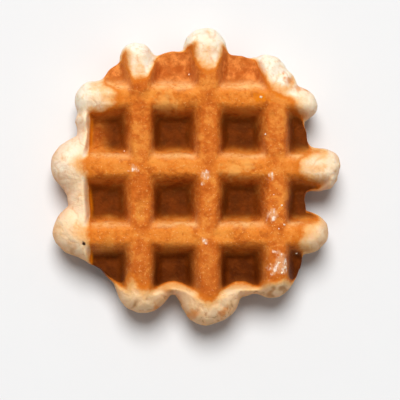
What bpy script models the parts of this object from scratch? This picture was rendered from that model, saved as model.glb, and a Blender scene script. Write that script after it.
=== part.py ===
"""A round pearl sugar waffle, lying flat, in metres with +Z up and +Y away from the viewer.

The waffle is one piece of dough. A ball of dough spreads between two facing iron plates, and each plate
has a grid of tapered pegs. Where the dough reaches the iron it takes the iron's shape, which gives bars
and pockets. Between the pegs it flows further out, and each bar ends in a lobe that touches no iron.
Both faces are worked out here as heights above and below the middle of the thickness, on one flat
triangulation of the waffle's plan.
"""

from collections import namedtuple

import bmesh
import bpy
import numpy as np
from mathutils import Vector, noise
from mathutils.geometry import delaunay_2d_cdt

# The iron. Pairs are along X and along Y.
THICKNESS = 0.024  # over the bars, from plate to plate
WEB = 0.0064  # the sheet of dough left between facing pegs
PITCH = (0.0231, 0.0234)  # from bar to bar
CROSSING = (0.0038, 0.0030)  # where the two middle bars cross
POCKET_MOUTH = (0.0162, 0.0170)
POCKET_FLOOR = (0.0104, 0.0100)
PEGS = 4  # in a row and in a column
# Roundings as shares of a pocket wall's run: over its top and at its foot, and where two walls meet.
WALL_SOFTNESS = 0.52
CORNER_SOFTNESS = 0.40

# The ball of dough, pressed out to a rough disc. height is half of what the dough would rise to without
# the iron, and rounding is how far in from its edge it reaches that height. Positions are in the drawing,
# whose origin is near the middle of the grid.
Disc = namedtuple("Disc", "x y radius height rounding")
DISCS = (
    Disc(0.0015, 0.0050, 0.0380, 0.0150, 0.0035),  # the far right, thin out to its edge
    Disc(-0.0060, -0.0025, 0.0380, 0.0150, 0.0220),  # the near left, which ends in a low roll
    # The corners of the grid.
    Disc(-0.0247, 0.0313, 0.0074, 0.0150, 0.0035),
    Disc(0.0284, 0.0313, 0.0060, 0.0100, 0.0060),
    Disc(-0.0315, -0.0217, 0.0101, 0.0150, 0.0035),
    Disc(0.0295, -0.0279, 0.0075, 0.0150, 0.0035),
    # The outer pockets.
    Disc(-0.0080, 0.0350, 0.0080, 0.0150, 0.0035),
    Disc(0.0150, 0.0325, 0.0085, 0.0150, 0.0035),
    Disc(0.0295, 0.0130, 0.0085, 0.0150, 0.0035),
    Disc(-0.0250, -0.0290, 0.0080, 0.0150, 0.0035),
    Disc(0.0170, -0.0335, 0.0076, 0.0090, 0.0050),
    Disc(0.0340, -0.0105, 0.0040, 0.0150, 0.0035),
    # The neck between the two lobes at the far left.
    Disc(-0.0364, 0.0190, 0.0046, 0.0110, 0.0046),
)

# A lobe at each end of each bar. A bar runs along Y or X and is numbered from -1 to 1 across the grid.
# reach is from the origin to the lobe's tip, stray is how far it sits to one side of its bar, height is
# half of its thickness, and pressed is how far out from the origin it still touches both plates.
Lobe = namedtuple("Lobe", "runs bar end reach stray radius height pressed")
LOBES = (
    Lobe("Y", -1, 1, 0.0459, -0.0010, 0.0060, 0.0112, 0.0320),
    Lobe("Y", 0, 1, 0.0509, -0.0005, 0.0077, 0.0114, 0.0352),
    Lobe("Y", 1, 1, 0.0421, -0.0025, 0.0065, 0.0104, 0.0300),
    Lobe("X", 1, 1, 0.0417, -0.0019, 0.0062, 0.0110, 0.0345),
    Lobe("X", 0, 1, 0.0502, -0.0006, 0.0077, 0.0114, 0.0350),
    Lobe("X", -1, 1, 0.0457, 0.0006, 0.0075, 0.0114, 0.0368),
    Lobe("Y", 1, -1, 0.0420, -0.0009, 0.0087, 0.0118, 0.0388),
    Lobe("Y", 0, -1, 0.0512, 0.0006, 0.0106, 0.0120, 0.0430),
    Lobe("Y", -1, -1, 0.0471, 0.0013, 0.0097, 0.0118, 0.0388),
    Lobe("X", -1, -1, 0.0488, 0.0013, 0.0084, 0.0114, 0.0362),
    Lobe("X", 0, -1, 0.0498, 0.0005, 0.0093, 0.0114, 0.0396),
    Lobe("X", 1, -1, 0.0418, 0.0, 0.0065, 0.0110, 0.0270),
)
LOBE_LEAD = 0.0040  # how much deeper a disc has to be than a lobe to hide the lobe's height
LOBE_FALL = 0.30  # how steeply a lobe comes down from the plates where they let go of it
PRESSED_HEIGHT = DISCS[0].height  # half of what a bar would rise to without the iron
JOIN_SOFTNESS = 0.0009  # how far the outlines of discs and lobes melt into each other
HEIGHT_SOFTNESS = 0.0022  # and how far their heights do
PRESS_SOFTNESS = 0.0018  # the rounding where the dough leaves the iron
THIN_EDGE = 0.0010  # half of the thickness next to the outline, at the least

# The dough's unevenness: the size of a lump, how much it moves the edge, how much it lifts the free
# dough, and how far the top stays short of its plate.
LUMP = 0.0075
EDGE_WAVE = 0.0007
FREE_LUMPS = 0.0007
TOP_HOLLOWS = 0.0003
EDGE_LAYER, FACE_LAYER = 1.5, 3.5  # two independent layers of unevenness

# The mesh.
OUTLINE_POINTS = 210
OUTLINE_RAYS = 720
OUTLINE_STEPS = 18  # halvings of the search for the edge along a ray
RIM_RINGS = (0.0004, 0.0015)  # how far in from the edge
RING_CLEARANCE = 0.0010
GRID_REACH = 0.056
SEARCH_REACH = 0.067  # where the search for the edge starts, well outside the dough
SAME_POINT = 1e-7  # points closer than this are one

CRUST_COLOUR = (0.58, 0.24, 0.06, 1.0)
CRUST_ROUGHNESS = 0.62

Blob = namedtuple("Blob", "start end radius height rounding lead pressed")


def bar_middle(axis, number):
    return CROSSING[axis] + number * PITCH[axis]


def disc_blob(disc):
    middle = (disc.x, disc.y)
    return Blob(middle, middle, disc.radius, disc.height, disc.rounding, 0.0, 0.0)


def lobe_blob(lobe):
    """A lobe as a stretch of dough that runs from under its bar's last crossing out to its tip."""
    along = 1 if lobe.runs == "Y" else 0
    across = 1 - along
    start, end = [0.0, 0.0], [0.0, 0.0]
    start[across] = end[across] = bar_middle(across, lobe.bar) + lobe.stray
    start[along] = bar_middle(along, lobe.end)
    end[along] = lobe.end * (lobe.reach - lobe.radius)
    return Blob(start, end, lobe.radius, lobe.height, lobe.radius, LOBE_LEAD, lobe.pressed)


BLOBS = [disc_blob(disc) for disc in DISCS] + [lobe_blob(lobe) for lobe in LOBES]


def waves(x, y, size, layer):
    """Smooth unevenness from about -1 to 1, whose bumps are size across."""
    return np.array([noise.noise(Vector((a / size, b / size, layer))) for a, b in zip(x, y)])


def depth_in_blob(blob, x, y):
    """How far each point is inside the blob's outline in plan. It is negative outside."""
    run = np.subtract(blob.end, blob.start)
    x, y = x - blob.start[0], y - blob.start[1]
    if run.any():
        share = np.clip((x * run[0] + y * run[1]) / (run @ run), 0, 1)
        x, y = x - share * run[0], y - share * run[1]
    return blob.radius - np.hypot(x, y)


def height_in_blob(blob, x, y):
    """Half of what the blob's dough would rise to without the iron. A lobe is high up to pressed."""
    run = np.subtract(blob.end, blob.start)
    if not run.any():
        return np.full(len(x), blob.height)
    beyond = (x * run[0] + y * run[1]) / np.hypot(*run) - blob.pressed
    return np.clip(THICKNESS / 2 - LOBE_FALL * beyond, blob.height, PRESSED_HEIGHT)


def spread(x, y):
    """For each point: how far it is inside the dough's outline, the free half height and the rounding."""
    depths = np.array([depth_in_blob(blob, x, y) for blob in BLOBS])
    deepest = depths.max(axis=0)
    inside = deepest + JOIN_SOFTNESS * np.log(np.exp((depths - deepest) / JOIN_SOFTNESS).sum(axis=0))
    inside += EDGE_WAVE * waves(x, y, LUMP, EDGE_LAYER)
    depths += np.array([[blob.lead] for blob in BLOBS])
    weights = np.exp((depths - depths.max(axis=0)) / HEIGHT_SOFTNESS)
    weights /= weights.sum(axis=0)
    height = (weights * [height_in_blob(blob, x, y) for blob in BLOBS]).sum(axis=0)
    rounding = (weights * [[blob.rounding] for blob in BLOBS]).sum(axis=0)
    return inside, height, rounding


def smaller(a, b, softness):
    """The smaller of the two, rounded off where they are within softness of each other."""
    overlap = np.clip(1 - np.abs(a - b) / softness, 0, 1)
    return np.minimum(a, b) - overlap**2 * softness / 4


def wall_share(place, axis):
    """Along one axis: below 0 on a bar, 0 to 1 down a pocket's wall, and more than 1 over its floor."""
    column = np.clip(np.round((place - CROSSING[axis]) / PITCH[axis] - 0.5), -PEGS / 2, PEGS / 2 - 1)
    from_middle = np.abs(place - CROSSING[axis] - (column + 0.5) * PITCH[axis])
    mouth, floor = POCKET_MOUTH[axis] / 2, POCKET_FLOOR[axis] / 2
    return (mouth - from_middle) / (mouth - floor)


def iron_height(x, y):
    """From the middle of the thickness to the iron."""
    share = smaller(wall_share(x, 0), wall_share(y, 1), CORNER_SOFTNESS)
    below_mouth = -smaller(-share, 0, WALL_SOFTNESS)
    down = smaller(below_mouth, 1, WALL_SOFTNESS)
    return THICKNESS / 2 - (THICKNESS - WEB) / 2 * down


def half_height(x, y, face):
    """From the middle of the thickness to a face of the waffle: 1 is the top and -1 the underside."""
    inside, height, rounding = spread(x, y)
    lumps = waves(x, y, LUMP, FACE_LAYER * face)
    turn = 1 - np.clip(inside / rounding, 0, 1)
    free = (height + FREE_LUMPS * lumps) * np.sqrt(1 - turn**2)
    pressed = iron_height(x, y)
    if face == 1:
        pressed = pressed + TOP_HOLLOWS * np.minimum(lumps, 0)
    return np.maximum(smaller(free, pressed, PRESS_SOFTNESS), THIN_EDGE)


def outline():
    """The edge of the dough, evenly spaced, and the way inwards at each point."""
    angle = np.linspace(0, 2 * np.pi, OUTLINE_RAYS, endpoint=False)
    near, far = np.zeros(OUTLINE_RAYS), np.full(OUTLINE_RAYS, SEARCH_REACH)
    for _ in range(OUTLINE_STEPS):
        middle = (near + far) / 2
        inside = spread(middle * np.cos(angle), middle * np.sin(angle))[0] > 0
        near, far = np.where(inside, middle, near), np.where(inside, far, middle)
    x, y = near * np.cos(angle), near * np.sin(angle)
    x, y = np.append(x, x[0]), np.append(y, y[0])
    walked = np.concatenate([[0], np.cumsum(np.hypot(np.diff(x), np.diff(y)))])
    stops = np.linspace(0, walked[-1], OUTLINE_POINTS, endpoint=False)
    x, y = np.interp(stops, walked, x), np.interp(stops, walked, y)
    along_x, along_y = np.roll(x, -1) - np.roll(x, 1), np.roll(y, -1) - np.roll(y, 1)
    length = np.hypot(along_x, along_y)
    return x, y, -along_y / length, along_x / length


def grid_lines(axis):
    """Where the mesh has its lines along one axis: through the bends of the walls, and between them."""
    mouth, floor = POCKET_MOUTH[axis] / 2, POCKET_FLOOR[axis] / 2
    soft = WALL_SOFTNESS / 2 * (mouth - floor)
    one_side = [floor / 2, floor - soft, floor + soft, mouth - soft, mouth, mouth + soft]
    stops = [0, *one_side, *(-place for place in one_side), -PITCH[axis] / 2]
    middles = [CROSSING[axis] + (column + 0.5) * PITCH[axis] for column in range(-PEGS, PEGS)]
    lines = sorted(middle + stop for middle in middles for stop in stops)
    return np.array([line for line in lines if abs(line) < GRID_REACH])


def grid(edge_x, edge_y):
    """The grid's points that are clear of the rim, and the edges between them with each cell's diagonal."""
    x, y = np.meshgrid(grid_lines(0), grid_lines(1))
    to_edge = np.hypot(x[..., None] - edge_x, y[..., None] - edge_y).min(axis=-1)
    in_dough = spread(x.ravel(), y.ravel())[0].reshape(x.shape) > 0
    kept = in_dough & (to_edge > RIM_RINGS[-1] + RING_CLEARANCE)
    number = np.cumsum(kept).reshape(x.shape) - 1
    beside = kept[:, :-1] & kept[:, 1:]
    above = kept[:-1] & kept[1:]
    whole = beside[:-1] & beside[1:]
    # A cell's diagonal is the one that lies closer to the surface at the cell's middle.
    height = half_height(x.ravel(), y.ravel(), -1).reshape(x.shape)
    middle_x, middle_y = (x[:-1, :-1] + x[1:, 1:]) / 2, (y[:-1, :-1] + y[1:, 1:]) / 2
    middle = half_height(middle_x.ravel(), middle_y.ravel(), -1).reshape(middle_x.shape)
    rising = np.abs(middle - (height[:-1, :-1] + height[1:, 1:]) / 2)
    falling = np.abs(middle - (height[:-1, 1:] + height[1:, :-1]) / 2)
    up, down = whole & (rising <= falling), whole & (rising > falling)
    ends = [
        (number[:, :-1][beside], number[:, 1:][beside]),
        (number[:-1][above], number[1:][above]),
        (number[:-1, :-1][up], number[1:, 1:][up]),
        (number[:-1, 1:][down], number[1:, :-1][down]),
    ]
    edges = np.concatenate([np.column_stack(pair) for pair in ends])
    return x[kept], y[kept], edges


def plan():
    """The waffle's plan in triangles: its points, with the outline's first, and the triangles."""
    x, y, in_x, in_y = outline()
    grid_x, grid_y, grid_edges = grid(x, y)
    points_x = np.concatenate([x, *(x + in_x * inset for inset in RIM_RINGS), grid_x])
    points_y = np.concatenate([y, *(y + in_y * inset for inset in RIM_RINGS), grid_y])
    edges = [(i, (i + 1) % OUTLINE_POINTS) for i in range(OUTLINE_POINTS)]
    edges += (grid_edges + len(points_x) - len(grid_x)).tolist()
    points = [Vector(point) for point in zip(points_x, points_y)]
    points, _, triangles, _, _, _ = delaunay_2d_cdt(points, edges, [], 1, SAME_POINT)
    return np.array([point.x for point in points]), np.array([point.y for point in points]), triangles


def waffle_mesh():
    x, y, triangles = plan()
    above, below = half_height(x, y, 1), half_height(x, y, -1)
    on_edge = np.arange(len(x)) < OUTLINE_POINTS
    above[on_edge] = below[on_edge] = 0
    # The origin moves from the drawing's to the middle of the waffle's own length and width.
    x -= (x.min() + x.max()) / 2
    y -= (y.min() + y.max()) / 2
    foot = below.max()

    shape = bmesh.new()
    top = [shape.verts.new(place) for place in zip(x, y, foot + above)]
    under = [shape.verts.new(place) for place in zip(x[~on_edge], y[~on_edge], foot - below[~on_edge])]
    under = top[:OUTLINE_POINTS] + under
    for i, j, k in triangles:
        shape.faces.new((top[i], top[j], top[k]))
        shape.faces.new((under[k], under[j], under[i]))
    mesh = bpy.data.meshes.new("waffle")
    shape.to_mesh(mesh)
    shape.free()
    mesh.shade_smooth()
    return mesh


def crust_material():
    material = bpy.data.materials.new("browned_dough")
    material.use_nodes = True
    shader = material.node_tree.nodes["Principled BSDF"]
    shader.inputs["Base Color"].default_value = CRUST_COLOUR
    shader.inputs["Roughness"].default_value = CRUST_ROUGHNESS
    shader.inputs["Metallic"].default_value = 0.0
    return material


for old in list(bpy.data.objects):
    bpy.data.objects.remove(old)
waffle = bpy.data.objects.new("waffle", waffle_mesh())
waffle.data.materials.append(crust_material())
bpy.context.scene.collection.objects.link(waffle)
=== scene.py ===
import math
import random
from collections import namedtuple
from types import SimpleNamespace

import bmesh
import bpy
import numpy as np
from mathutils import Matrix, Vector, noise
from mathutils.geometry import delaunay_2d_cdt


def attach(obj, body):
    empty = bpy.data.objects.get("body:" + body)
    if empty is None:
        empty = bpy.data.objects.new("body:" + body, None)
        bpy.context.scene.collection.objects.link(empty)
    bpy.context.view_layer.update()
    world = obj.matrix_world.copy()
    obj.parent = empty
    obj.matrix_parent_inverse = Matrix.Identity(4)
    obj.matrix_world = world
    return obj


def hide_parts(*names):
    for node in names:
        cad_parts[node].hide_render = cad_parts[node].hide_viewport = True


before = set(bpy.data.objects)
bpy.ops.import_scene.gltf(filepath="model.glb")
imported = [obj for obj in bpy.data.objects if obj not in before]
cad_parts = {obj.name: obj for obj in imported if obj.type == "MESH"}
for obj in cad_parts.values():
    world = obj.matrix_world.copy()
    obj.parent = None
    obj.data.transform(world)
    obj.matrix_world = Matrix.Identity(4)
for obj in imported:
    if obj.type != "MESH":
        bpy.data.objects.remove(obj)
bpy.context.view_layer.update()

# The waffle is one piece of yeast dough with butter and lumps of pearl sugar in it. A ball of it is
# pressed between two hot iron plates with facing pegs. What touches the iron browns and takes its shape,
# and what runs out between the pegs stays pale and round.

# The iron. Pairs are along X and along Y.
THICKNESS = 0.024  # from plate to plate
WEB = 0.0064  # the sheet of dough left between facing pegs
PITCH = (0.0231, 0.0234)  # from bar to bar
CROSSING = (0.0038, 0.0030)  # where the two middle bars cross
POCKET_MOUTH = (0.0162, 0.0170)
POCKET_FLOOR = (0.0104, 0.0100)
PEGS = 4  # in a row and in a column
# Roundings as shares of a pocket wall's run: over its top and at its foot, and where two walls meet.
WALL_SOFTNESS = 0.52
CORNER_SOFTNESS = 0.40

# The ball of dough, pressed out to a rough disc. height is half of what the dough would rise to without
# the iron, and rounding is how far in from its edge it reaches that height.
Disc = namedtuple("Disc", "x y radius height rounding")
DISCS = (
    Disc(0.0015, 0.0050, 0.0380, 0.0150, 0.0035),  # the far right, thin out to its edge
    Disc(-0.0060, -0.0025, 0.0380, 0.0150, 0.0220),  # the near left, which ends in a low roll
    # The corners of the grid.
    Disc(-0.0247, 0.0313, 0.0074, 0.0150, 0.0035),
    Disc(0.0284, 0.0313, 0.0060, 0.0100, 0.0060),
    Disc(-0.0315, -0.0217, 0.0101, 0.0150, 0.0035),
    Disc(0.0295, -0.0279, 0.0075, 0.0150, 0.0035),
    # The outer pockets.
    Disc(-0.0080, 0.0350, 0.0080, 0.0150, 0.0035),
    Disc(0.0150, 0.0325, 0.0085, 0.0150, 0.0035),
    Disc(0.0295, 0.0130, 0.0085, 0.0150, 0.0035),
    Disc(-0.0250, -0.0290, 0.0080, 0.0150, 0.0035),
    Disc(0.0170, -0.0335, 0.0076, 0.0090, 0.0050),
    Disc(0.0340, -0.0105, 0.0040, 0.0150, 0.0035),
    # The neck between the two lobes at the far left.
    Disc(-0.0364, 0.0190, 0.0046, 0.0110, 0.0046),
)

# A lobe at each end of each bar. A bar runs along Y or X and is numbered from -1 to 1 across the grid.
# reach is from the origin to the lobe's tip, stray is how far it sits to one side of its bar, height is
# half of its thickness, and pressed is how far out from the origin it still touches both plates.
Lobe = namedtuple("Lobe", "runs bar end reach stray radius height pressed")
LOBES = (
    Lobe("Y", -1, 1, 0.0459, -0.0010, 0.0060, 0.0112, 0.0320),
    Lobe("Y", 0, 1, 0.0509, -0.0005, 0.0077, 0.0114, 0.0352),
    Lobe("Y", 1, 1, 0.0421, -0.0025, 0.0065, 0.0104, 0.0300),
    Lobe("X", 1, 1, 0.0417, -0.0019, 0.0062, 0.0110, 0.0345),
    Lobe("X", 0, 1, 0.0502, -0.0006, 0.0077, 0.0114, 0.0350),
    Lobe("X", -1, 1, 0.0457, 0.0006, 0.0075, 0.0114, 0.0368),
    Lobe("Y", 1, -1, 0.0420, -0.0009, 0.0087, 0.0118, 0.0388),
    Lobe("Y", 0, -1, 0.0512, 0.0006, 0.0106, 0.0120, 0.0430),
    Lobe("Y", -1, -1, 0.0471, 0.0013, 0.0097, 0.0118, 0.0388),
    Lobe("X", -1, -1, 0.0488, 0.0013, 0.0084, 0.0114, 0.0362),
    Lobe("X", 0, -1, 0.0498, 0.0005, 0.0093, 0.0114, 0.0396),
    Lobe("X", 1, -1, 0.0418, 0.0, 0.0065, 0.0110, 0.0270),
)
LOBE_LEAD = 0.0040  # how far beside a lobe its own height still wins over a disc's
LOBE_FALL = 0.30  # how steeply a lobe falls away once it is past the plates
PRESSED_HEIGHT = DISCS[0].height

JOIN_SOFTNESS = 0.0009  # in plan, where two stretches of dough meet
HEIGHT_SOFTNESS = 0.0022  # in height, over the same places
PRESS_SOFTNESS = 0.0018  # where the free dough meets the iron
THIN_EDGE = 0.0010  # half the thickness next to the outline

# Each unevenness is soft noise: how far apart its bumps are, and which layer of the noise it is.
Noise = namedtuple("Noise", "across layer")
FACE_LAYER = 3.5  # keeps the two faces' noise apart
EDGE_WAVES, EDGE_WAVE = Noise(0.0075, 1.5), 0.0007
EDGE_CRUMBLE, CRUMBLE_DEPTH = Noise(0.0022, 7.5), 0.00025
LUMPS, FREE_LUMPS, TOP_HOLLOWS = Noise(0.0075, 0), 0.0007, 0.0003

# The pale skin's relief. Creases and wrinkles are the zero lines of a noise that is bent by another one.
BENDS, BEND_REACH = (Noise(0.0030, 20), Noise(0.0030, 30)), 0.0020
CREASES, CREASE_WIDTH, CREASE_DEPTH = Noise(0.0040, 1), 0.26, 0.00038
CREASED, CREASED_FROM = Noise(0.0040, 7), (-0.2, 0.2)
WRINKLES, WRINKLE_WIDTH, WRINKLE_DEPTH = Noise(0.0018, 9), 0.20, 0.00030
WRINKLED, WRINKLED_FROM, WRINKLE_SHADE = Noise(0.0060, 10), (-0.3, 0.2), 0.8
DIMPLES, DIMPLE_DEPTH = Noise(0.0028, 2), 0.00040
FLUFF, FLUFF_DEPTH = Noise(0.0012, 8), 0.00018
FOLDS_TO_EDGE = 12  # the higher, the nearer to the outline the folds keep their depth

# How deep the folds are: everywhere, more on the near rolls, and most on the torn lobe at the right.
Place = namedtuple("Place", "x y radius")
SMOOTH_FOLDS, NEAR_FOLDS, TORN_FOLDS, TORN_CRUMBLE = 0.65, 0.45, 1.1, 1.6
NEAR_FOLDS_FROM = (-0.026, -0.032)
TORN = Place(0.0475, -0.0010, 0.0065)

# The crust's relief: shallow hollows where the batter had bubbles, and pores. The walls wander a little.
HOLLOWS, HOLLOW_FROM, HOLLOW_DEPTH = Noise(0.0050, 4), (0.1944, 0.75), 0.00050
PORES, FINE_PORES, FINE_SHARE, PORE_DEPTH = Noise(0.0011, 5), Noise(0.00055, 6), 0.4, 0.00020
WANDERS, WANDER_REACH = (Noise(0.0060, 40), Noise(0.0060, 50)), 0.0005

# How a pocket darkens: its near and far walls only at their foot, and its side walls from their top
# down, which is painted shade where the light only grazes them.
SIDE_SHARPNESS, SIDE_WANDER = 1.6, 0.6
SHADED_RIGHT_OF_BARS = 0.8  # painted shade: how much darker the walls at the right of the bars, facing away from the light, are at their top
# The left pocket of the second row from the far side is lighter towards its near left corner, which is
# painted light on its bowl, and the pockets of the near row are lighter in their near half.
PAINTED_LIGHT_CORNER, CORNER_X, CORNER_NEAR, CORNER_FAR = 0.50, (-0.0285, -0.0335), (0.005, 0.008), (0.0225, 0.0145)
LIGHT_NEAR, NEAR_FLOORS = 0.30, (-0.0315, -0.0355)
# Painted highlights lie on the far shoulders of the bars, which face the light, at this share of the way
# down the wall.
SHOULDER_AT, SHOULDER_WIDTH, SHOULDER_GAIN, SHOULDER_CUT = 0.26, 0.20, 1.2, 0.22
SHOULDER_ON_SIDES = 0.1
FAR_SHEET_WALLS = (0.024, 0.028)  # from here on along Y they are so from top to foot

# How hard the iron pressed. Steep walls met it less, and the thin sheets met it out to their rim.
STEEP_TOUCH = 1.6
RIM_TURN = 0.95
# The walls that rise to the left and near rolls met it only at their foot, so they are pale above that.
LEFT_ROLLS, NEAR_ROLLS = (-0.030, -0.034), (-0.0325, -0.0365)
PALE_WALL, ON_SIDE_WALL, BELOW_BAR = (1.1, 0.7667), (0, 0.625), (0, 0.1667)
FOOT_TOUCH, FOOT_FROM = 0.0025, 0.90
# A line of amber sugar crust lies along the foot of the left walls.
FOOT_LINE, FOOT_LINE_WIDTH, FOOT_LINE_FROM = 1.0, 0.25, (-0.030, -0.033)
FOOT_AMBER, FOOT_PATCHES = 0.8, 0.4
# Places where the dough met the iron less than its form says, and stayed paler.
Paler = namedtuple("Paler", "x y radius by")
PALER = (
    Paler(0.0317, 0.0330, 0.0025, 0.0018),
    Paler(0.0225, 0.0385, 0.0030, 0.0020),
    Paler(0.0450, -0.0040, 0.0045, 0.0022),
    Paler(0.0370, 0.0210, 0.0040, 0.0012),
)

# What stands out on the top: dried sugar glaze, a spot toasted darker, a burnt crumb, a place where the
# crust is thin and bare, and an amber one where melted sugar soaked in.
Spot = namedtuple("Spot", "kind x y radius")
SPOTS = (
    Spot("glaze", 0.0288, -0.0303, 0.0042),
    Spot("glaze", 0.0250, -0.0372, 0.0018),
    Spot("glaze", 0.0027, -0.0005, 0.0020),
    Spot("glaze", 0.0257, -0.0132, 0.0022),
    Spot("glaze", -0.0219, 0.0029, 0.0014),
    Spot("glaze", 0.0250, 0.0005, 0.0013),
    Spot("glaze", 0.0027, -0.0224, 0.0011),
    Spot("toast", -0.0236, 0.0331, 0.0014),
    Spot("toast", 0.0164, 0.0286, 0.0014),
    Spot("toast", 0.0236, -0.0361, 0.0012),
    Spot("toast", 0.0414, 0.0084, 0.0012),
    Spot("toast", -0.0014, -0.0474, 0.0026),
    Spot("toast", 0.0086, -0.0471, 0.0026),
    Spot("toast", -0.0134, -0.0457, 0.0020),
    Spot("toast", 0.0319, 0.0327, 0.0022),
    Spot("toast", 0.0350, 0.0300, 0.0024),
    Spot("toast", 0.0378, 0.0297, 0.0014),
    Spot("toast", 0.0297, 0.0350, 0.0008),
    Spot("toast", 0.0300, 0.0335, 0.0009),
    Spot("soot", -0.0387, -0.0231, 0.0008),
    Spot("bare", -0.0110, 0.0248, 0.0046),
    Spot("bare", 0.0125, 0.0020, 0.0040),
    Spot("bare", 0.0170, 0.0038, 0.0030),
    Spot("amber", 0.0216, 0.0268, 0.0026),
    Spot("amber", 0.0290, 0.0290, 0.0030),
)
SPOT_FRINGES = ((Noise(0.0011, 60), 0.7), (Noise(0.0030, 61), 0.8))
LEAST_FRINGE = 0.5

# The mesh. Its triangles are finer on the top, which shows, than on the underside.
TOP_FINE, UNDER_FINE = 0.00036, 0.00060
OUTLINE_POINTS = 800
OUTLINE_RAYS = 4 * OUTLINE_POINTS
OUTLINE_STEPS = 18  # halvings in the search for the edge along each ray
EDGE_SIGHT = 2  # the edge's direction is taken over this many points each way
SEARCH_REACH = 0.0672
RIM_RINGS = (0.00008, 0.00028, 0.0006, 0.0010)
RING_CLEARANCE = 0.8  # of a triangle, between the last ring and the grid
GRID_REACH = 0.056
SAME_POINT = 1e-7  # points closer than this are one

# A blob is a disc or a lobe, as the dough within radius of the line from start to end. A face holds the
# height of each of its points, and the marks that its colour follows.
Blob = namedtuple("Blob", "start end radius height rounding lead pressed")
Face = namedtuple("Face", "height touch bake side shoulder crease hollow glaze toast soot bare amber")


def bar_middle(axis, number):
    return CROSSING[axis] + number * PITCH[axis]


def disc_blob(disc):
    middle = (disc.x, disc.y)
    return Blob(middle, middle, disc.radius, disc.height, disc.rounding, 0.0, 0.0)


def lobe_blob(lobe):
    """A lobe as a stretch of dough that runs from under its bar's last crossing out to its tip."""
    along = 1 if lobe.runs == "Y" else 0
    across = 1 - along
    start, end = [0.0, 0.0], [0.0, 0.0]
    start[across] = end[across] = bar_middle(across, lobe.bar) + lobe.stray
    start[along] = bar_middle(along, lobe.end)
    end[along] = lobe.end * (lobe.reach - lobe.radius)
    return Blob(start, end, lobe.radius, lobe.height, lobe.radius, LOBE_LEAD, lobe.pressed)


BLOBS = [disc_blob(disc) for disc in DISCS] + [lobe_blob(lobe) for lobe in LOBES]


def waves(x, y, kind, face=0):
    """Smooth unevenness from about -1 to 1. face is 0 for what both faces share, and 1 or -1 for one."""
    layer = kind.layer + FACE_LAYER * face
    return np.array([noise.noise(Vector((a / kind.across, b / kind.across, layer))) for a, b in zip(x, y)])


def ramp(value, start, end):
    """0 up to start, 1 from end on, and even between them. It runs downwards where end is the smaller."""
    return np.clip((value - start) / (end - start), 0, 1)


def ridge(wave, width):
    """1 where the wave is 0, falling to 0 where it is width away."""
    return np.clip(1 - np.abs(wave) / width, 0, 1)


def bell(x, y, place):
    """1 in the middle of the place and hardly anything past twice its radius."""
    return np.exp(-((x - place.x) ** 2 + (y - place.y) ** 2) / place.radius**2)


def depth_in_blob(blob, x, y):
    """How far each point is inside the blob's outline in plan. It is negative outside."""
    run = np.subtract(blob.end, blob.start)
    x, y = x - blob.start[0], y - blob.start[1]
    if run.any():
        share = np.clip((x * run[0] + y * run[1]) / (run @ run), 0, 1)
        x, y = x - share * run[0], y - share * run[1]
    return blob.radius - np.hypot(x, y)


def height_in_blob(blob, x, y):
    """Half of what the blob's dough would rise to without the iron. A lobe is high up to pressed."""
    run = np.subtract(blob.end, blob.start)
    if not run.any():
        return np.full(len(x), blob.height)
    beyond = (x * run[0] + y * run[1]) / np.hypot(*run) - blob.pressed
    return np.clip(THICKNESS / 2 - LOBE_FALL * beyond, blob.height, PRESSED_HEIGHT)


def spread(x, y):
    """For each point: how far it is inside the dough's outline, the free half height and the rounding."""
    depths = np.array([depth_in_blob(blob, x, y) for blob in BLOBS])
    deepest = depths.max(axis=0)
    inside = deepest + JOIN_SOFTNESS * np.log(np.exp((depths - deepest) / JOIN_SOFTNESS).sum(axis=0))
    crumble = CRUMBLE_DEPTH * (1 + TORN_CRUMBLE * bell(x, y, TORN))
    inside += EDGE_WAVE * waves(x, y, EDGE_WAVES) + crumble * waves(x, y, EDGE_CRUMBLE)
    depths += np.array([[blob.lead] for blob in BLOBS])
    weights = np.exp((depths - depths.max(axis=0)) / HEIGHT_SOFTNESS)
    weights /= weights.sum(axis=0)
    height = (weights * [height_in_blob(blob, x, y) for blob in BLOBS]).sum(axis=0)
    rounding = (weights * [[blob.rounding] for blob in BLOBS]).sum(axis=0)
    return inside, height, rounding


def smaller(a, b, softness):
    """The smaller of the two, rounded off where they are within softness of each other."""
    overlap = np.clip(1 - np.abs(a - b) / softness, 0, 1)
    return np.minimum(a, b) - overlap**2 * softness / 4


def wall_share(place, axis):
    """Along one axis: below 0 on a bar, 0 to 1 down a pocket's wall, and more than 1 over its floor."""
    column = np.clip(np.round((place - CROSSING[axis]) / PITCH[axis] - 0.5), -PEGS / 2, PEGS / 2 - 1)
    from_middle = np.abs(place - CROSSING[axis] - (column + 0.5) * PITCH[axis])
    mouth, floor = POCKET_MOUTH[axis] / 2, POCKET_FLOOR[axis] / 2
    return (mouth - from_middle) / (mouth - floor)


def past_pocket(place, axis):
    """How far past the middle of its pocket a place is along one axis, as a share of the pitch."""
    share = (place - CROSSING[axis]) / PITCH[axis] - 0.5
    return share - np.round(share)


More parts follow.
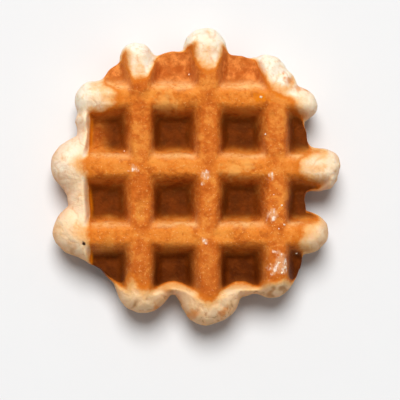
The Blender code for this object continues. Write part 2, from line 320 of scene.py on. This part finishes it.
def skin_folds(x, y, face):
    """How deep the folds of the free dough are, and how much of a crease each point is, from 0 to 1."""
    bent_x = x + BEND_REACH * waves(x, y, BENDS[0], face)
    bent_y = y + BEND_REACH * waves(x, y, BENDS[1], face)
    crease = ridge(waves(bent_x, bent_y, CREASES, face), CREASE_WIDTH)
    crease *= ramp(waves(x, y, CREASED, face), *CREASED_FROM)
    wrinkle = ridge(waves(bent_x, bent_y, WRINKLES, face), WRINKLE_WIDTH)
    depth = CREASE_DEPTH * crease + DIMPLE_DEPTH * waves(x, y, DIMPLES, face)
    depth += FLUFF_DEPTH * waves(bent_x, bent_y, FLUFF, face) + WRINKLE_DEPTH * wrinkle
    depth *= SMOOTH_FOLDS + NEAR_FOLDS * ramp(y, *NEAR_FOLDS_FROM) + TORN_FOLDS * bell(x, y, TORN)
    wrinkled = ramp(waves(x, y, WRINKLED, face), *WRINKLED_FROM)
    return depth, np.maximum(crease, WRINKLE_SHADE * wrinkle * wrinkled)


def pocket_walls(x, y, face, lumps):
    """The wall's share along X, how far down its pocket each point is, from 0 on a bar to 1 on a floor,
    and how much its wall is a side wall, from 0 for a near or far one to 1."""
    across = wall_share(x + WANDER_REACH * waves(x, y, WANDERS[0], face), 0)
    along = wall_share(y + WANDER_REACH * waves(x, y, WANDERS[1], face), 1)
    below_mouth = -smaller(-smaller(across, along, CORNER_SOFTNESS), 0, WALL_SOFTNESS)
    down = smaller(below_mouth, 1, WALL_SOFTNESS)
    side = 0.5 + 0.5 * np.tanh(SIDE_SHARPNESS * (along - across) + SIDE_WANDER * lumps)
    return across, down, side


def baked_and_shaded(x, y, down, side):
    """How brown the crust is, from 0 on a bar to 1 on a pocket's floor, with painted shade on the side
    walls and painted light in one corner.
    """
    side_walls = (1 + SHADED_RIGHT_OF_BARS * (past_pocket(x, 0) < 0)) * side
    bake = down * (down + side_walls * (1 - down))
    bake *= 1 - PAINTED_LIGHT_CORNER * ramp(x, *CORNER_X) * ramp(y, *CORNER_NEAR) * ramp(y, *CORNER_FAR)
    return bake - LIGHT_NEAR * ramp(y, *NEAR_FLOORS) * down * (1 - side)


def shoulder_highlights(y, down, side, steep):
    """Painted highlights on the far shoulders of the bars, which face the light, and on the whole far wall
    beside the far sheets.
    """
    at_top = np.exp(-(((down - SHOULDER_AT) / SHOULDER_WIDTH) ** 2))
    shoulder = np.clip(SHOULDER_GAIN * at_top - SHOULDER_CUT, 0, 1)
    shoulder = np.maximum(shoulder, steep * ramp(y, *FAR_SHEET_WALLS))
    return shoulder * (1 - (1 - SHOULDER_ON_SIDES) * side) * (past_pocket(y, 1) < 0)


def touched(x, y, met, pressed, across, down, side, steep):
    """How far the free dough would stand past the iron, in metres. It is negative where they don't meet."""
    touch = (met - pressed) / (1 + STEEP_TOUCH * steep)
    left = ramp(x, *LEFT_ROLLS) * ramp(across, *PALE_WALL) * ramp(side, *ON_SIDE_WALL)
    near = ramp(y, *NEAR_ROLLS) * (1 - side)
    too_much = np.clip(touch - FOOT_TOUCH * (down - FOOT_FROM), 0, None)
    touch -= np.maximum(left, near) * too_much * ramp(down, *BELOW_BAR)
    for place in PALER:
        touch -= place.by * bell(x, y, place)
    return touch


def spotted(x, y, kind, face):
    """1 in the middle of a spot of this kind on the top and 0 outside, with a ragged edge."""
    if face == -1:
        return np.zeros(len(x))
    ragged = 1 + sum(depth * waves(x, y, fringe) for fringe, depth in SPOT_FRINGES)
    ragged = np.clip(ragged, LEAST_FRINGE, None)
    spots = [spot for spot in SPOTS if spot.kind == kind]
    share = [1 - np.hypot(x - spot.x, y - spot.y) * ragged / spot.radius for spot in spots]
    return np.clip(np.max(share, axis=0), 0, 1)


def dough_face(x, y, face):
    """One face of the waffle, 1 for the top and -1 for the underside: its height over the middle of the
    thickness, and what its colour follows."""
    inside, height, rounding = spread(x, y)
    lumps = waves(x, y, LUMPS, face)
    turn = 1 - np.clip(inside / rounding, 0, 1)
    risen = height + FREE_LUMPS * lumps
    folds, crease = skin_folds(x, y, face)
    free = risen * np.sqrt(1 - turn**2) - folds * np.sqrt(1 - turn**FOLDS_TO_EDGE)

    across, down, side = pocket_walls(x, y, face, lumps)
    steep = 4 * down * (1 - down)  # 1 halfway down a wall
    pressed = THICKNESS / 2 - (THICKNESS - WEB) / 2 * down
    if face == 1:
        pressed = pressed + TOP_HOLLOWS * np.minimum(lumps, 0)
    met = risen * np.sqrt(1 - np.minimum(turn, RIM_TURN) ** 2)
    touch = touched(x, y, met, pressed, across, down, side, steep)

    hollow = ramp(waves(x, y, HOLLOWS, face), *HOLLOW_FROM)
    pores = np.clip(waves(x, y, PORES, face) + FINE_SHARE * waves(x, y, FINE_PORES, face), 0, 1)
    pressed = pressed - HOLLOW_DEPTH * hollow * (1 - down) - PORE_DEPTH * pores
    height = np.maximum(smaller(free, pressed, PRESS_SOFTNESS), THIN_EDGE)

    foot_line = np.exp(-(((across - FOOT_LINE) / FOOT_LINE_WIDTH) ** 2)) * ramp(x, *FOOT_LINE_FROM) * side
    foot_line *= FOOT_AMBER + FOOT_PATCHES * lumps
    glaze, toast, soot, bare, amber = (spotted(x, y, kind, face) for kind in Face._fields[-5:])
    amber = np.maximum(amber, foot_line)
    bake, shoulder = baked_and_shaded(x, y, down, side), shoulder_highlights(y, down, side, steep)
    return Face(height, touch, bake, side, shoulder, crease, hollow, glaze, toast, soot, bare, amber)


def outline():
    """The edge of the dough, evenly spaced, and the way inwards at each point."""
    angle = np.linspace(0, 2 * np.pi, OUTLINE_RAYS, endpoint=False)
    near, far = np.zeros(OUTLINE_RAYS), np.full(OUTLINE_RAYS, SEARCH_REACH)
    for _ in range(OUTLINE_STEPS):
        middle = (near + far) / 2
        inside = spread(middle * np.cos(angle), middle * np.sin(angle))[0] > 0
        near, far = np.where(inside, middle, near), np.where(inside, far, middle)
    x, y = near * np.cos(angle), near * np.sin(angle)
    x, y = np.append(x, x[0]), np.append(y, y[0])
    walked = np.concatenate([[0], np.cumsum(np.hypot(np.diff(x), np.diff(y)))])
    stops = np.linspace(0, walked[-1], OUTLINE_POINTS, endpoint=False)
    x, y = np.interp(stops, walked, x), np.interp(stops, walked, y)
    along_x = np.roll(x, -EDGE_SIGHT) - np.roll(x, EDGE_SIGHT)
    along_y = np.roll(y, -EDGE_SIGHT) - np.roll(y, EDGE_SIGHT)
    length = np.hypot(along_x, along_y)
    return x, y, -along_y / length, along_x / length


EDGE = outline()
MIDDLE = [(side.min() + side.max()) / 2 for side in EDGE[:2]]


def plan(fine):
    """The waffle's plan in triangles about fine long, with the outline's points first."""
    x, y, in_x, in_y = EDGE
    lines = np.arange(-GRID_REACH, GRID_REACH, fine)
    grid_x, grid_y = (side.ravel() for side in np.meshgrid(lines, lines))
    in_reach = np.hypot(grid_x, grid_y) < GRID_REACH
    grid_x, grid_y = grid_x[in_reach], grid_y[in_reach]
    kept = spread(grid_x, grid_y)[0] > RIM_RINGS[-1] + RING_CLEARANCE * fine
    points_x = np.concatenate([x, *(x + in_x * inset for inset in RIM_RINGS), grid_x[kept]])
    points_y = np.concatenate([y, *(y + in_y * inset for inset in RIM_RINGS), grid_y[kept]])
    edges = [(i, (i + 1) % OUTLINE_POINTS) for i in range(OUTLINE_POINTS)]
    points = [Vector(point) for point in zip(points_x, points_y)]
    points, _, triangles, _, _, _ = delaunay_2d_cdt(points, edges, [], 1, SAME_POINT)
    x, y = np.array([point.x for point in points]), np.array([point.y for point in points])
    return x, y, np.array(triangles)


def placed(x, y, height):
    """A face's points in the frame. The outline's own lie halfway up."""
    height = np.where(np.arange(len(x)) < OUTLINE_POINTS, 0, height)
    return np.column_stack([x - MIDDLE[0], y - MIDDLE[1], THICKNESS / 2 + height])


def waffle_mesh():
    """Both faces, which share the points of the outline, with what the colour follows at each point."""
    x, y, triangles = plan(TOP_FINE)
    top = dough_face(x, y, 1)
    points = placed(x, y, top.height)
    x, y, under_triangles = plan(UNDER_FINE)
    under = dough_face(x, y, -1)
    under_points = placed(x, y, -under.height)[OUTLINE_POINTS:]
    under_marks = np.column_stack(under[1:])[OUTLINE_POINTS:]
    shift = len(points) - OUTLINE_POINTS
    under_triangles = np.where(under_triangles < OUTLINE_POINTS, under_triangles, under_triangles + shift)

    mesh = bpy.data.meshes.new("waffle_crust")
    faces = np.concatenate([triangles, under_triangles[:, ::-1]])
    mesh.from_pydata(np.concatenate([points, under_points]).tolist(), [], faces.tolist())
    marks = np.concatenate([np.column_stack(top[1:]), under_marks])
    for name, values in zip(Face._fields[1:], marks.T):
        layer = mesh.attributes.new(name, "FLOAT", "POINT")
        layer.data.foreach_set("value", values.astype(np.float32))
    mesh.shade_smooth()
    return mesh


class Wire:
    """One output in a material's nodes. A sum written on wires adds the Math nodes that work it out."""

    def __init__(self, tree, socket=None):
        self.tree = tree
        self.socket = socket

    def node(self, kind, settings=None, sockets=None, output=0):
        """Adds a node of any kind: its settings first, then its sockets' values or links."""
        made = self.tree.nodes.new(kind)
        for name, setting in (settings or {}).items():
            setattr(made, name, setting)
        for name, value in (sockets or {}).items():
            if isinstance(value, Wire):
                self.tree.links.new(value.socket, made.inputs[name])
            else:
                made.inputs[name].default_value = value
        return Wire(self.tree, made.outputs[output])

    def sum(self, operation, first, second):
        return self.node("ShaderNodeMath", {"operation": operation}, {0: first, 1: second})

    def __add__(self, other):
        return self.sum("ADD", self, other)

    def __radd__(self, other):
        return self.sum("ADD", other, self)

    def __sub__(self, other):
        return self.sum("SUBTRACT", self, other)

    def __rsub__(self, other):
        return self.sum("SUBTRACT", other, self)

    def __mul__(self, other):
        return self.sum("MULTIPLY", self, other)

    def __rmul__(self, other):
        return self.sum("MULTIPLY", other, self)

    def part(self, axis):
        """One coordinate of a vector: 0 for X, 1 for Y and 2 for Z."""
        return self.node("ShaderNodeSeparateXYZ", None, {"Vector": self}, axis)

    def step(self, low, high):
        """0 below low, 1 above high, and smooth between them."""
        sockets = {"Value": self, "From Min": low, "From Max": high}
        return self.node("ShaderNodeMapRange", {"interpolation_type": "SMOOTHSTEP"}, sockets)


def screen(red, green, blue):
    """A colour as given on a screen, 0 to 255, as the renderer counts light."""
    shares = [part / 255 for part in (red, green, blue)]
    light = [share / 12.92 if share < 0.04045 else ((share + 0.055) / 1.055) ** 2.4 for share in shares]
    return (*light, 1.0)


DOUGH = {
    "ivory": screen(254, 236, 212),
    "warm ivory": screen(250, 220, 184),
    "cream": screen(252, 214, 170),
    "warm cream": screen(244, 194, 140),
    "painted far light": screen(255, 244, 228),
    "painted low shade": screen(230, 150, 84),
    "golden cream": screen(242, 196, 142),
    "near crease shade": screen(186, 122, 64),
    "far crease shade": screen(216, 150, 84),
    "first gold": screen(240, 182, 108),
    "gold": screen(238, 172, 96),
    "orange rim": screen(216, 118, 32),
    "toast": screen(224, 136, 60),
    "soot": screen(50, 26, 20),
    "lit cross bar": screen(224, 126, 42),
    "side bar": screen(206, 106, 34),
    "dark cloud": screen(166, 70, 12),
    "light cloud": screen(234, 146, 62),
    "hollow": screen(226, 146, 60),
    "near bar": screen(184, 92, 30),
    "painted shoulder highlight": screen(255, 194, 124),
    "light grain": screen(236, 156, 70),
    "dark grain": screen(164, 72, 14),
    "sugar glint": screen(255, 206, 150),
    "dark floor": screen(84, 32, 2),
    "floor": screen(114, 50, 8),
    "floor grain": screen(136, 68, 20),
    "near floor": screen(70, 26, 2),
    "thin sheet": screen(190, 98, 34),
    "light sheet": screen(236, 148, 72),
    "sheet fold": screen(164, 76, 20),
    "bare crust": screen(240, 168, 86),
    "amber": screen(226, 124, 14),
    "thin glaze": screen(238, 184, 134),
    "white glaze": screen(250, 232, 214),
}
# Stretches along Y over which one look turns into another.
SHADED_NEAR_TO_LIT_FAR = (-0.044, 0.024)
LIT_FAR_LOBES = (0.024, 0.050)
LOW_SKIN_ENDS = (0.0, 0.040)
NEAR_ROW = (-0.042, -0.018)
NEAR_CREASES = (-0.040, -0.018)
NEAR_BARS = (-0.034, -0.018)
GLINTS_END = (-0.020, 0.030)
FAR_SHEETS = (0.024, 0.036)
LOW_SKIN = (0.012, 0.0215)  # heights over the floor

# The touch, in millimetres, over which the skin turns to crust. Its line is ragged with noise.
TOUCH_SCALE = 1000
FIRST_GOLD_FROM, GOLD_FROM, ORANGE_FROM, BROWNED_FROM = (-1.9, 0.2), (-1.3, 0.3), (-0.4, 0.5), (0.1, 1.3)
GOLD_BLOTCHES, RAGGED_BLOTCHES, RAGGED_GRAIN, RAGGED_HOLLOWS = 1.6, 1.1, 0.8, 0.25

# How far the pockets' brown reaches up their walls, with more of it in the near row.
BROWN_FROM, BROWN_BLOTCHES = (0.10, 1.05), 0.35
BROWN_NEAR, BROWN_LESS_FAR = 1.3, 0.3

# The mottling. Noise reads from 0 to 1, but keeps mostly to its middle.
NOISE_HALVES = (0.35, 0.65)
CLOUD_PATCHES, CLOUD_BLOTCHES = 0.35, 0.65
HIGHLIGHT_BLOTCHES, HIGHLIGHT_PATCHES, HIGHLIGHT_GRAIN = 0.5, 0.3, 0.4
# How much painted crease shade covers the creases on the near side, and how much less on the far side.
CREASE_NEAR, CREASE_LESS_FAR = 0.85, 0.45
GLINTS_LESS_FAR = 0.6

# Light goes some way into the pale skin, and hardly into the dry crust.
SKIN_ROUGHNESS, CRUST_ROUGHNESS, ROUGHNESS_FLECKS = 0.70, 0.52, 0.3
SKIN_DEPTH, CRUST_DEPTH, LIGHT_REACH = 0.5, 0.12, 0.0022
LIGHT_BY_COLOUR = (1.0, 0.7, 0.5)
SHINE, SHINE_TINT = 0.1, (1.0, 0.62, 0.35, 1.0)
BUMP_STRENGTH, BUMP_HEIGHT = 0.8, 0.0006
FINE_GRAIN, FINE_FLECKS = 0.6, 0.4
STREAK_SQUEEZE = (2.4, 1.0, 1.0)  # the glaze lies in streaks along Y


# A Mix node has sockets of the same names for numbers, vectors and colours. These are the colours'.
MIX_SHARE, MIX_UNDER, MIX_OVER, MIX_RESULT = 0, 6, 7, 2


def mixed(share, under, over):
    """under where share is 0, and over where it is 1."""
    sockets = {MIX_SHARE: share, MIX_UNDER: under, MIX_OVER: over}
    return share.node("ShaderNodeMix", {"data_type": "RGBA"}, sockets, MIX_RESULT)


def coated(under, shade, share, cover=1.0):
    """A colour of the dough laid over what is under it, where share is 1, and covering it this much."""
    return mixed(share * cover, under, DOUGH[shade])


def bumpy(start, size, detail=3.0, rough=0.55, at=None):
    """Even noise whose bumps are size across."""
    place = at or start.node("ShaderNodeTexCoord", output="Object")
    sockets = {"Vector": place, "Scale": 1 / size, "Detail": detail, "Roughness": rough}
    return start.node("ShaderNodeTexNoise", None, sockets)


def crust_marks(start):
    """What the colour follows: the values on the mesh, noise of several sizes, and the place."""
    mark = SimpleNamespace()
    for name in Face._fields[1:]:
        setattr(mark, name, start.node("ShaderNodeAttribute", {"attribute_name": name}, output="Fac"))
    mark.touch = mark.touch * TOUCH_SCALE
    mark.patches = bumpy(start, size=0.011)
    mark.blotches = bumpy(start, size=0.0032, detail=4.0)
    mark.folds = bumpy(start, size=0.0024, detail=6.0, rough=0.7)
    mark.grain = bumpy(start, size=0.0011, detail=5.0, rough=0.65)
    mark.fleck = bumpy(start, size=0.00055, detail=3.0, rough=0.6)
    mark.clouds = mark.patches * CLOUD_PATCHES + mark.blotches * CLOUD_BLOTCHES
    mark.place = start.node("ShaderNodeTexCoord", output="Object")
    mark.far, mark.high = mark.place.part(1), mark.place.part(2)
    return mark


def pale_skin(mark):
    """Cream on the near side, which is painted shade, and ivory on the far one, whiter still at the far
    lobes, which is painted light; tan low down, painted shade too; golden cream in patches; and warmer and
    darker in its creases, which is painted shade.
    """
    broad = mark.patches.step(*NOISE_HALVES)
    near = mixed(broad, DOUGH["cream"], DOUGH["warm cream"])
    far = mixed(broad, DOUGH["ivory"], DOUGH["warm ivory"])
    # Painted shade and light: cream on the near rolls, which lie in shade, turning to ivory on the far
    # ones, which face the light.
    skin = mixed(mark.far.step(*SHADED_NEAR_TO_LIT_FAR), near, far)
    # Painted light: the far lobes, which face the light, are whiter.
    skin = coated(skin, "painted far light", mark.far.step(*LIT_FAR_LOBES), cover=0.6)
    # Painted shade: tan low down on the near half of the skin, where it turns down away from the light.
    low = (1 - mark.high.step(*LOW_SKIN)) * (1 - mark.far.step(*LOW_SKIN_ENDS))
    skin = coated(skin, "painted low shade", low, cover=0.65)
    skin = coated(skin, "golden cream", mark.folds.step(0.48, 0.68), cover=0.6)
    # Painted shade in the creases, stronger on the near side.
    past_near = mark.far.step(*NEAR_CREASES)
    crease = mixed(past_near, DOUGH["near crease shade"], DOUGH["far crease shade"])
    skin = mixed(mark.crease.step(0.2, 1.0) * (CREASE_NEAR - past_near * CREASE_LESS_FAR), skin, crease)
    near_iron = mark.touch + (mark.blotches - 0.5) * GOLD_BLOTCHES
    return coated(skin, "first gold", near_iron.step(*FIRST_GOLD_FROM), cover=0.55)


def crust_of_bars(mark):
    """Orange on the bars, mottled dark and light, with painted highlights on the far shoulders and whitish
    sugar specks with painted glints; the cross bars are lighter than the side bars, which is painted light.
    """
    # Painted light: the cross bars, whose far slopes face the light, are a lighter orange than the side
    # bars.
    bar = mixed(mark.side, DOUGH["lit cross bar"], DOUGH["side bar"])
    bar = coated(bar, "dark cloud", mark.clouds.step(0.49, 0.64), cover=0.6)
    bar = coated(bar, "light cloud", (1 - mark.clouds).step(0.49, 0.62), cover=0.7)
    bar = coated(bar, "hollow", mark.hollow.step(0.0, 0.7), cover=0.4)
    bar = coated(bar, "near bar", 1 - mark.far.step(*NEAR_BARS), cover=0.5)
    # Painted highlight on the far shoulders, broken up by noise.
    highlight_breakup = mark.blotches * HIGHLIGHT_BLOTCHES + mark.patches * HIGHLIGHT_PATCHES + mark.grain * HIGHLIGHT_GRAIN
    bar = coated(bar, "painted shoulder highlight", mark.shoulder * highlight_breakup.step(0.42, 0.78), cover=1.3)
    bar = coated(bar, "light grain", mark.grain.step(0.52, 0.70), cover=0.5)
    bar = coated(bar, "dark grain", (1 - mark.grain).step(0.55, 0.72), cover=0.4)
    # Whitish sugar specks with painted glints on them, fewer on the far side.
    glints = mark.fleck.step(0.62, 0.72) * (1 - mark.far.step(*GLINTS_END) * GLINTS_LESS_FAR)
    return coated(bar, "sugar glint", glints, cover=0.5)


def crust_of_floors(mark):
    """Brown down in the pockets, darker in the near row, and golden on the thin sheets of the far row."""
    half = mark.clouds.step(0.38, 0.62)
    floor = mixed(half, DOUGH["dark floor"], DOUGH["floor"])
    floor = coated(floor, "floor grain", mark.grain.step(0.5, 0.75), cover=0.4)
    floor = coated(floor, "near floor", 1 - mark.far.step(*NEAR_ROW), cover=0.5)
    sheet = mixed(half, DOUGH["thin sheet"], DOUGH["light sheet"])
    sheet = coated(sheet, "sheet fold", mark.folds.step(0.42, 0.62), cover=0.6)
    return mixed(mark.far.step(*FAR_SHEETS), floor, sheet)


def whole_crust(start, mark):
    """The crust from the bars down to the floors, with its bare, amber and glazed places."""
    # This darkness holds painted shade on the side walls and painted light in one corner, as well as the
    # browning.
    brown = mark.bake * (BROWN_NEAR - mark.far.step(*NEAR_ROW) * BROWN_LESS_FAR)
    brown = brown + (mark.blotches - 0.5) * BROWN_BLOTCHES
    crust = mixed(brown.step(*BROWN_FROM), crust_of_bars(mark), crust_of_floors(mark))
    bare = mark.bare.step(0.0, 0.8) * (1 - mark.bake.step(0.2, 0.7))
    crust = coated(crust, "bare crust", bare, cover=0.7)
    crust = coated(crust, "amber", mark.amber.step(0.0, 0.7), cover=0.85)
    drawn_out = {0: mark.place, 1: STREAK_SQUEEZE}
    along_bar = start.node("ShaderNodeVectorMath", {"operation": "MULTIPLY"}, drawn_out)
    streaks = bumpy(start, size=0.0030, detail=4.0, rough=0.6, at=along_bar)
    on_bar = 1 - mark.bake.step(0.15, 0.5)
    crust = coated(crust, "thin glaze", mark.glaze.step(0.0, 0.6) * on_bar, cover=0.5)
    white = mark.glaze.step(0.0, 0.5) * on_bar * streaks.step(0.50, 0.62)
    return coated(crust, "white glaze", white, cover=0.9)


def dough_layer(shade, roughness, relief, depth):
    """One shader of the dough. depth is the share of the light that goes in and comes out beside."""
    sockets = {
        "Base Color": shade,
        "Roughness": roughness,
        "Normal": relief,
        "Subsurface Weight": depth,
        "Subsurface Radius": LIGHT_BY_COLOUR,
        "Subsurface Scale": LIGHT_REACH,
        "Specular Tint": SHINE_TINT,
        "Specular IOR Level": SHINE,
    }
    return shade.node("ShaderNodeBsdfPrincipled", None, sockets)


def crust_material():
    """Pale skin where the dough ran free, and crust where the iron pressed it, past a golden rim."""
    material = bpy.data.materials.new("browned_dough")
    material.use_nodes = True
    tree = material.node_tree
    tree.nodes.remove(tree.nodes["Principled BSDF"])
    start = Wire(tree)
    mark = crust_marks(start)
    crust = whole_crust(start, mark)

    ragged = mark.touch + (mark.blotches - 0.5) * RAGGED_BLOTCHES + (mark.grain - 0.5) * RAGGED_GRAIN
    ragged = ragged - mark.hollow * RAGGED_HOLLOWS
    skin = coated(pale_skin(mark), "gold", ragged.step(*GOLD_FROM), cover=0.9)
    skin = coated(skin, "orange rim", ragged.step(*ORANGE_FROM))
    skin = coated(skin, "toast", mark.toast.step(0.0, 0.8), cover=0.75)
    skin = coated(skin, "soot", mark.soot.step(0.2, 0.6))
    browned = ragged.step(*BROWNED_FROM)

    height = mark.grain * FINE_GRAIN + mark.fleck * FINE_FLECKS
    fine = {"Strength": BUMP_STRENGTH, "Distance": BUMP_HEIGHT, "Height": height}
    relief = start.node("ShaderNodeBump", None, fine)
    uneven = (mark.fleck - 0.5) * ROUGHNESS_FLECKS
    skin = dough_layer(skin, SKIN_ROUGHNESS + uneven, relief, SKIN_DEPTH)
    crust = dough_layer(crust, CRUST_ROUGHNESS + uneven, relief, CRUST_DEPTH)
    whole = start.node("ShaderNodeMixShader", None, {0: browned, 1: skin, 2: crust})
    tree.links.new(whole.socket, tree.nodes["Material Output"].inputs["Surface"])
    return material


waffle = bpy.data.objects.new("waffle_crust", waffle_mesh())
bpy.context.scene.collection.objects.link(waffle)
waffle.data.materials.append(crust_material())
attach(waffle, "root")
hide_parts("waffle")

# Pearl sugar is broken lumps of pressed white sugar, kneaded into the dough. Those at the surface melt
# half away on the iron and leave small white crumbs that are sunk a little into the crust.
Crumb = namedtuple("Crumb", "x y size")
CRUMBS = (
    Crumb(-0.0247, 0.0084, 0.00035),
    Crumb(-0.0024, 0.0348, 0.00040),
    Crumb(0.0233, 0.0142, 0.00035),
    Crumb(0.0288, -0.0101, 0.00050),
    Crumb(0.0295, -0.0166, 0.00045),
    Crumb(0.0260, -0.0063, 0.00040),
    Crumb(0.0277, -0.0180, 0.00035),
    Crumb(0.0344, -0.0264, 0.00040),
    Crumb(0.0278, -0.0296, 0.00070),
    Crumb(0.0298, -0.0312, 0.00060),
    Crumb(0.0288, -0.0330, 0.00045),
    Crumb(0.0216, 0.0268, 0.00060),
)
CRUMB_CORNERS = 14
CORNER_REACH = (0.8, 1.2)  # of the crumb's size
CRUMB_SQUASH = 0.8
CRUMB_SUNK = 0.3
CRUMB_SEED = 7
SUGAR_WHITE, SUGAR_SHADE = screen(255, 236, 212), screen(240, 206, 168)
SUGAR_ROUGHNESS, SUGAR_CLOUDINESS = 0.25, 0.4
SUGAR_DEPTH, SUGAR_REACH, SUGAR_BY_COLOUR = 0.6, 0.0006, (1.0, 0.8, 0.6)


def crumbs_mesh():
    """Each crumb is the hull of a few corners scattered over a squashed ball."""
    scatter = random.Random(CRUMB_SEED)
    x, y = np.array([crumb.x for crumb in CRUMBS]), np.array([crumb.y for crumb in CRUMBS])
    height = dough_face(x, y, 1).height + THICKNESS / 2
    shape = bmesh.new()
    for crumb, top in zip(CRUMBS, height):
        middle = Vector((crumb.x - MIDDLE[0], crumb.y - MIDDLE[1], top - CRUMB_SUNK * crumb.size))
        corners = []
        for _ in range(CRUMB_CORNERS):
            way = Vector([scatter.gauss(0, 1) for _ in range(3)]).normalized()
            reach = crumb.size * scatter.uniform(*CORNER_REACH)
            corners.append(shape.verts.new(middle + reach * Vector((way.x, way.y, CRUMB_SQUASH * way.z))))
        bmesh.ops.convex_hull(shape, input=corners)
    mesh = bpy.data.meshes.new("sugar_crumbs")
    shape.to_mesh(mesh)
    shape.free()
    return mesh


def sugar_material():
    material = bpy.data.materials.new("pearl_sugar")
    material.use_nodes = True
    tree = material.node_tree
    shader = tree.nodes["Principled BSDF"]
    cloudy = bumpy(Wire(tree), size=0.0005, detail=4.0, rough=0.6)
    shade = mixed(cloudy.step(*NOISE_HALVES), SUGAR_WHITE, SUGAR_SHADE)
    roughness = SUGAR_ROUGHNESS + cloudy * SUGAR_CLOUDINESS
    tree.links.new(shade.socket, shader.inputs["Base Color"])
    tree.links.new(roughness.socket, shader.inputs["Roughness"])
    shader.inputs["Subsurface Weight"].default_value = SUGAR_DEPTH
    shader.inputs["Subsurface Radius"].default_value = SUGAR_BY_COLOUR
    shader.inputs["Subsurface Scale"].default_value = SUGAR_REACH
    return material


crumbs = bpy.data.objects.new("sugar_crumbs", crumbs_mesh())
bpy.context.scene.collection.objects.link(crumbs)
crumbs.data.materials.append(sugar_material())
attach(crumbs, "root")

# The floor is a wide sheet of matt white board that the waffle lies on. It is flat and starts a hair
# under the waffle, so that the two never share a face.
FLOOR_SIZE = 3.0
FLOOR_DROP = 0.0001
FLOOR_ROUGHNESS, FLOOR_SHINE = 0.9, 0.1
BOARD, BOARD_CLOUD, CLOUD_SIZE = screen(227, 227, 227), screen(229, 229, 229), 0.02

half = FLOOR_SIZE / 2
corners = [(-half, -half, 0), (half, -half, 0), (half, half, 0), (-half, half, 0)]
floor_mesh = bpy.data.meshes.new("white_board")
floor_mesh.from_pydata(corners, [], [(0, 1, 2, 3)])
floor = bpy.data.objects.new("white_board", floor_mesh)
floor.location.z = -FLOOR_DROP
bpy.context.scene.collection.objects.link(floor)
board = bpy.data.materials.new("white_board")
board.use_nodes = True
board_shade = mixed(bumpy(Wire(board.node_tree), CLOUD_SIZE), BOARD, BOARD_CLOUD)
board_shader = board.node_tree.nodes["Principled BSDF"]
board.node_tree.links.new(board_shade.socket, board_shader.inputs["Base Color"])
board_shader.inputs["Roughness"].default_value = FLOOR_ROUGHNESS
board_shader.inputs["Specular IOR Level"].default_value = FLOOR_SHINE
floor_mesh.materials.append(board)

# The light is one wide soft box, high up over the far side and turned a little to the left. The rest
# comes evenly from the white room around it.
BOX_TURN = math.radians(8.0)
BOX_LIFT = math.radians(63.0)
BOX_SIZE, BOX_POWER, BOX_DISTANCE = 3.0, 404.0, 6.0
ROOM_WHITE, ROOM_LIGHT = (1.0, 1.0, 1.0, 1.0), 0.22

box_way = Vector((-math.sin(BOX_TURN), math.cos(BOX_TURN), math.tan(BOX_LIFT))).normalized()
box = bpy.data.objects.new("soft_box", bpy.data.lights.new("soft_box", "AREA"))
box.data.shape, box.data.size, box.data.energy = "DISK", BOX_SIZE, BOX_POWER
box.location = box_way * BOX_DISTANCE
box.rotation_euler = box_way.to_track_quat("Z", "Y").to_euler()
bpy.context.scene.collection.objects.link(box)
room = bpy.data.worlds.new("white_room")
room.use_nodes = True
room.node_tree.nodes["Background"].inputs["Color"].default_value = ROOM_WHITE
room.node_tree.nodes["Background"].inputs["Strength"].default_value = ROOM_LIGHT
bpy.context.scene.world = room
bpy.context.scene.view_settings.view_transform = "Standard"

# The camera hangs almost straight over the waffle, leaning a little to its left, on a long lens. Its
# picture is as wide as the photograph, at the photograph's size of a pixel on the waffle.
PIXEL = 0.0003425
FRAME_SIZE = 400
LOOKED_AT = Vector((0.0010, -0.0080, 0.018))
CAMERA_DISTANCE = 0.80
CAMERA_LEAN = math.radians(3.5)
SENSOR_WIDTH = 36.0  # mm, like the lens
CLIP_START = 0.01

camera = bpy.data.objects.new("camera", bpy.data.cameras.new("camera"))
camera.location = LOOKED_AT + CAMERA_DISTANCE * Vector((-math.sin(CAMERA_LEAN), 0.0, math.cos(CAMERA_LEAN)))
camera.rotation_euler = (0.0, -CAMERA_LEAN, 0.0)
camera.data.sensor_width = SENSOR_WIDTH
camera.data.lens = SENSOR_WIDTH * CAMERA_DISTANCE / (PIXEL * FRAME_SIZE)
camera.data.clip_start = CLIP_START
bpy.context.scene.collection.objects.link(camera)
bpy.context.scene.camera = camera
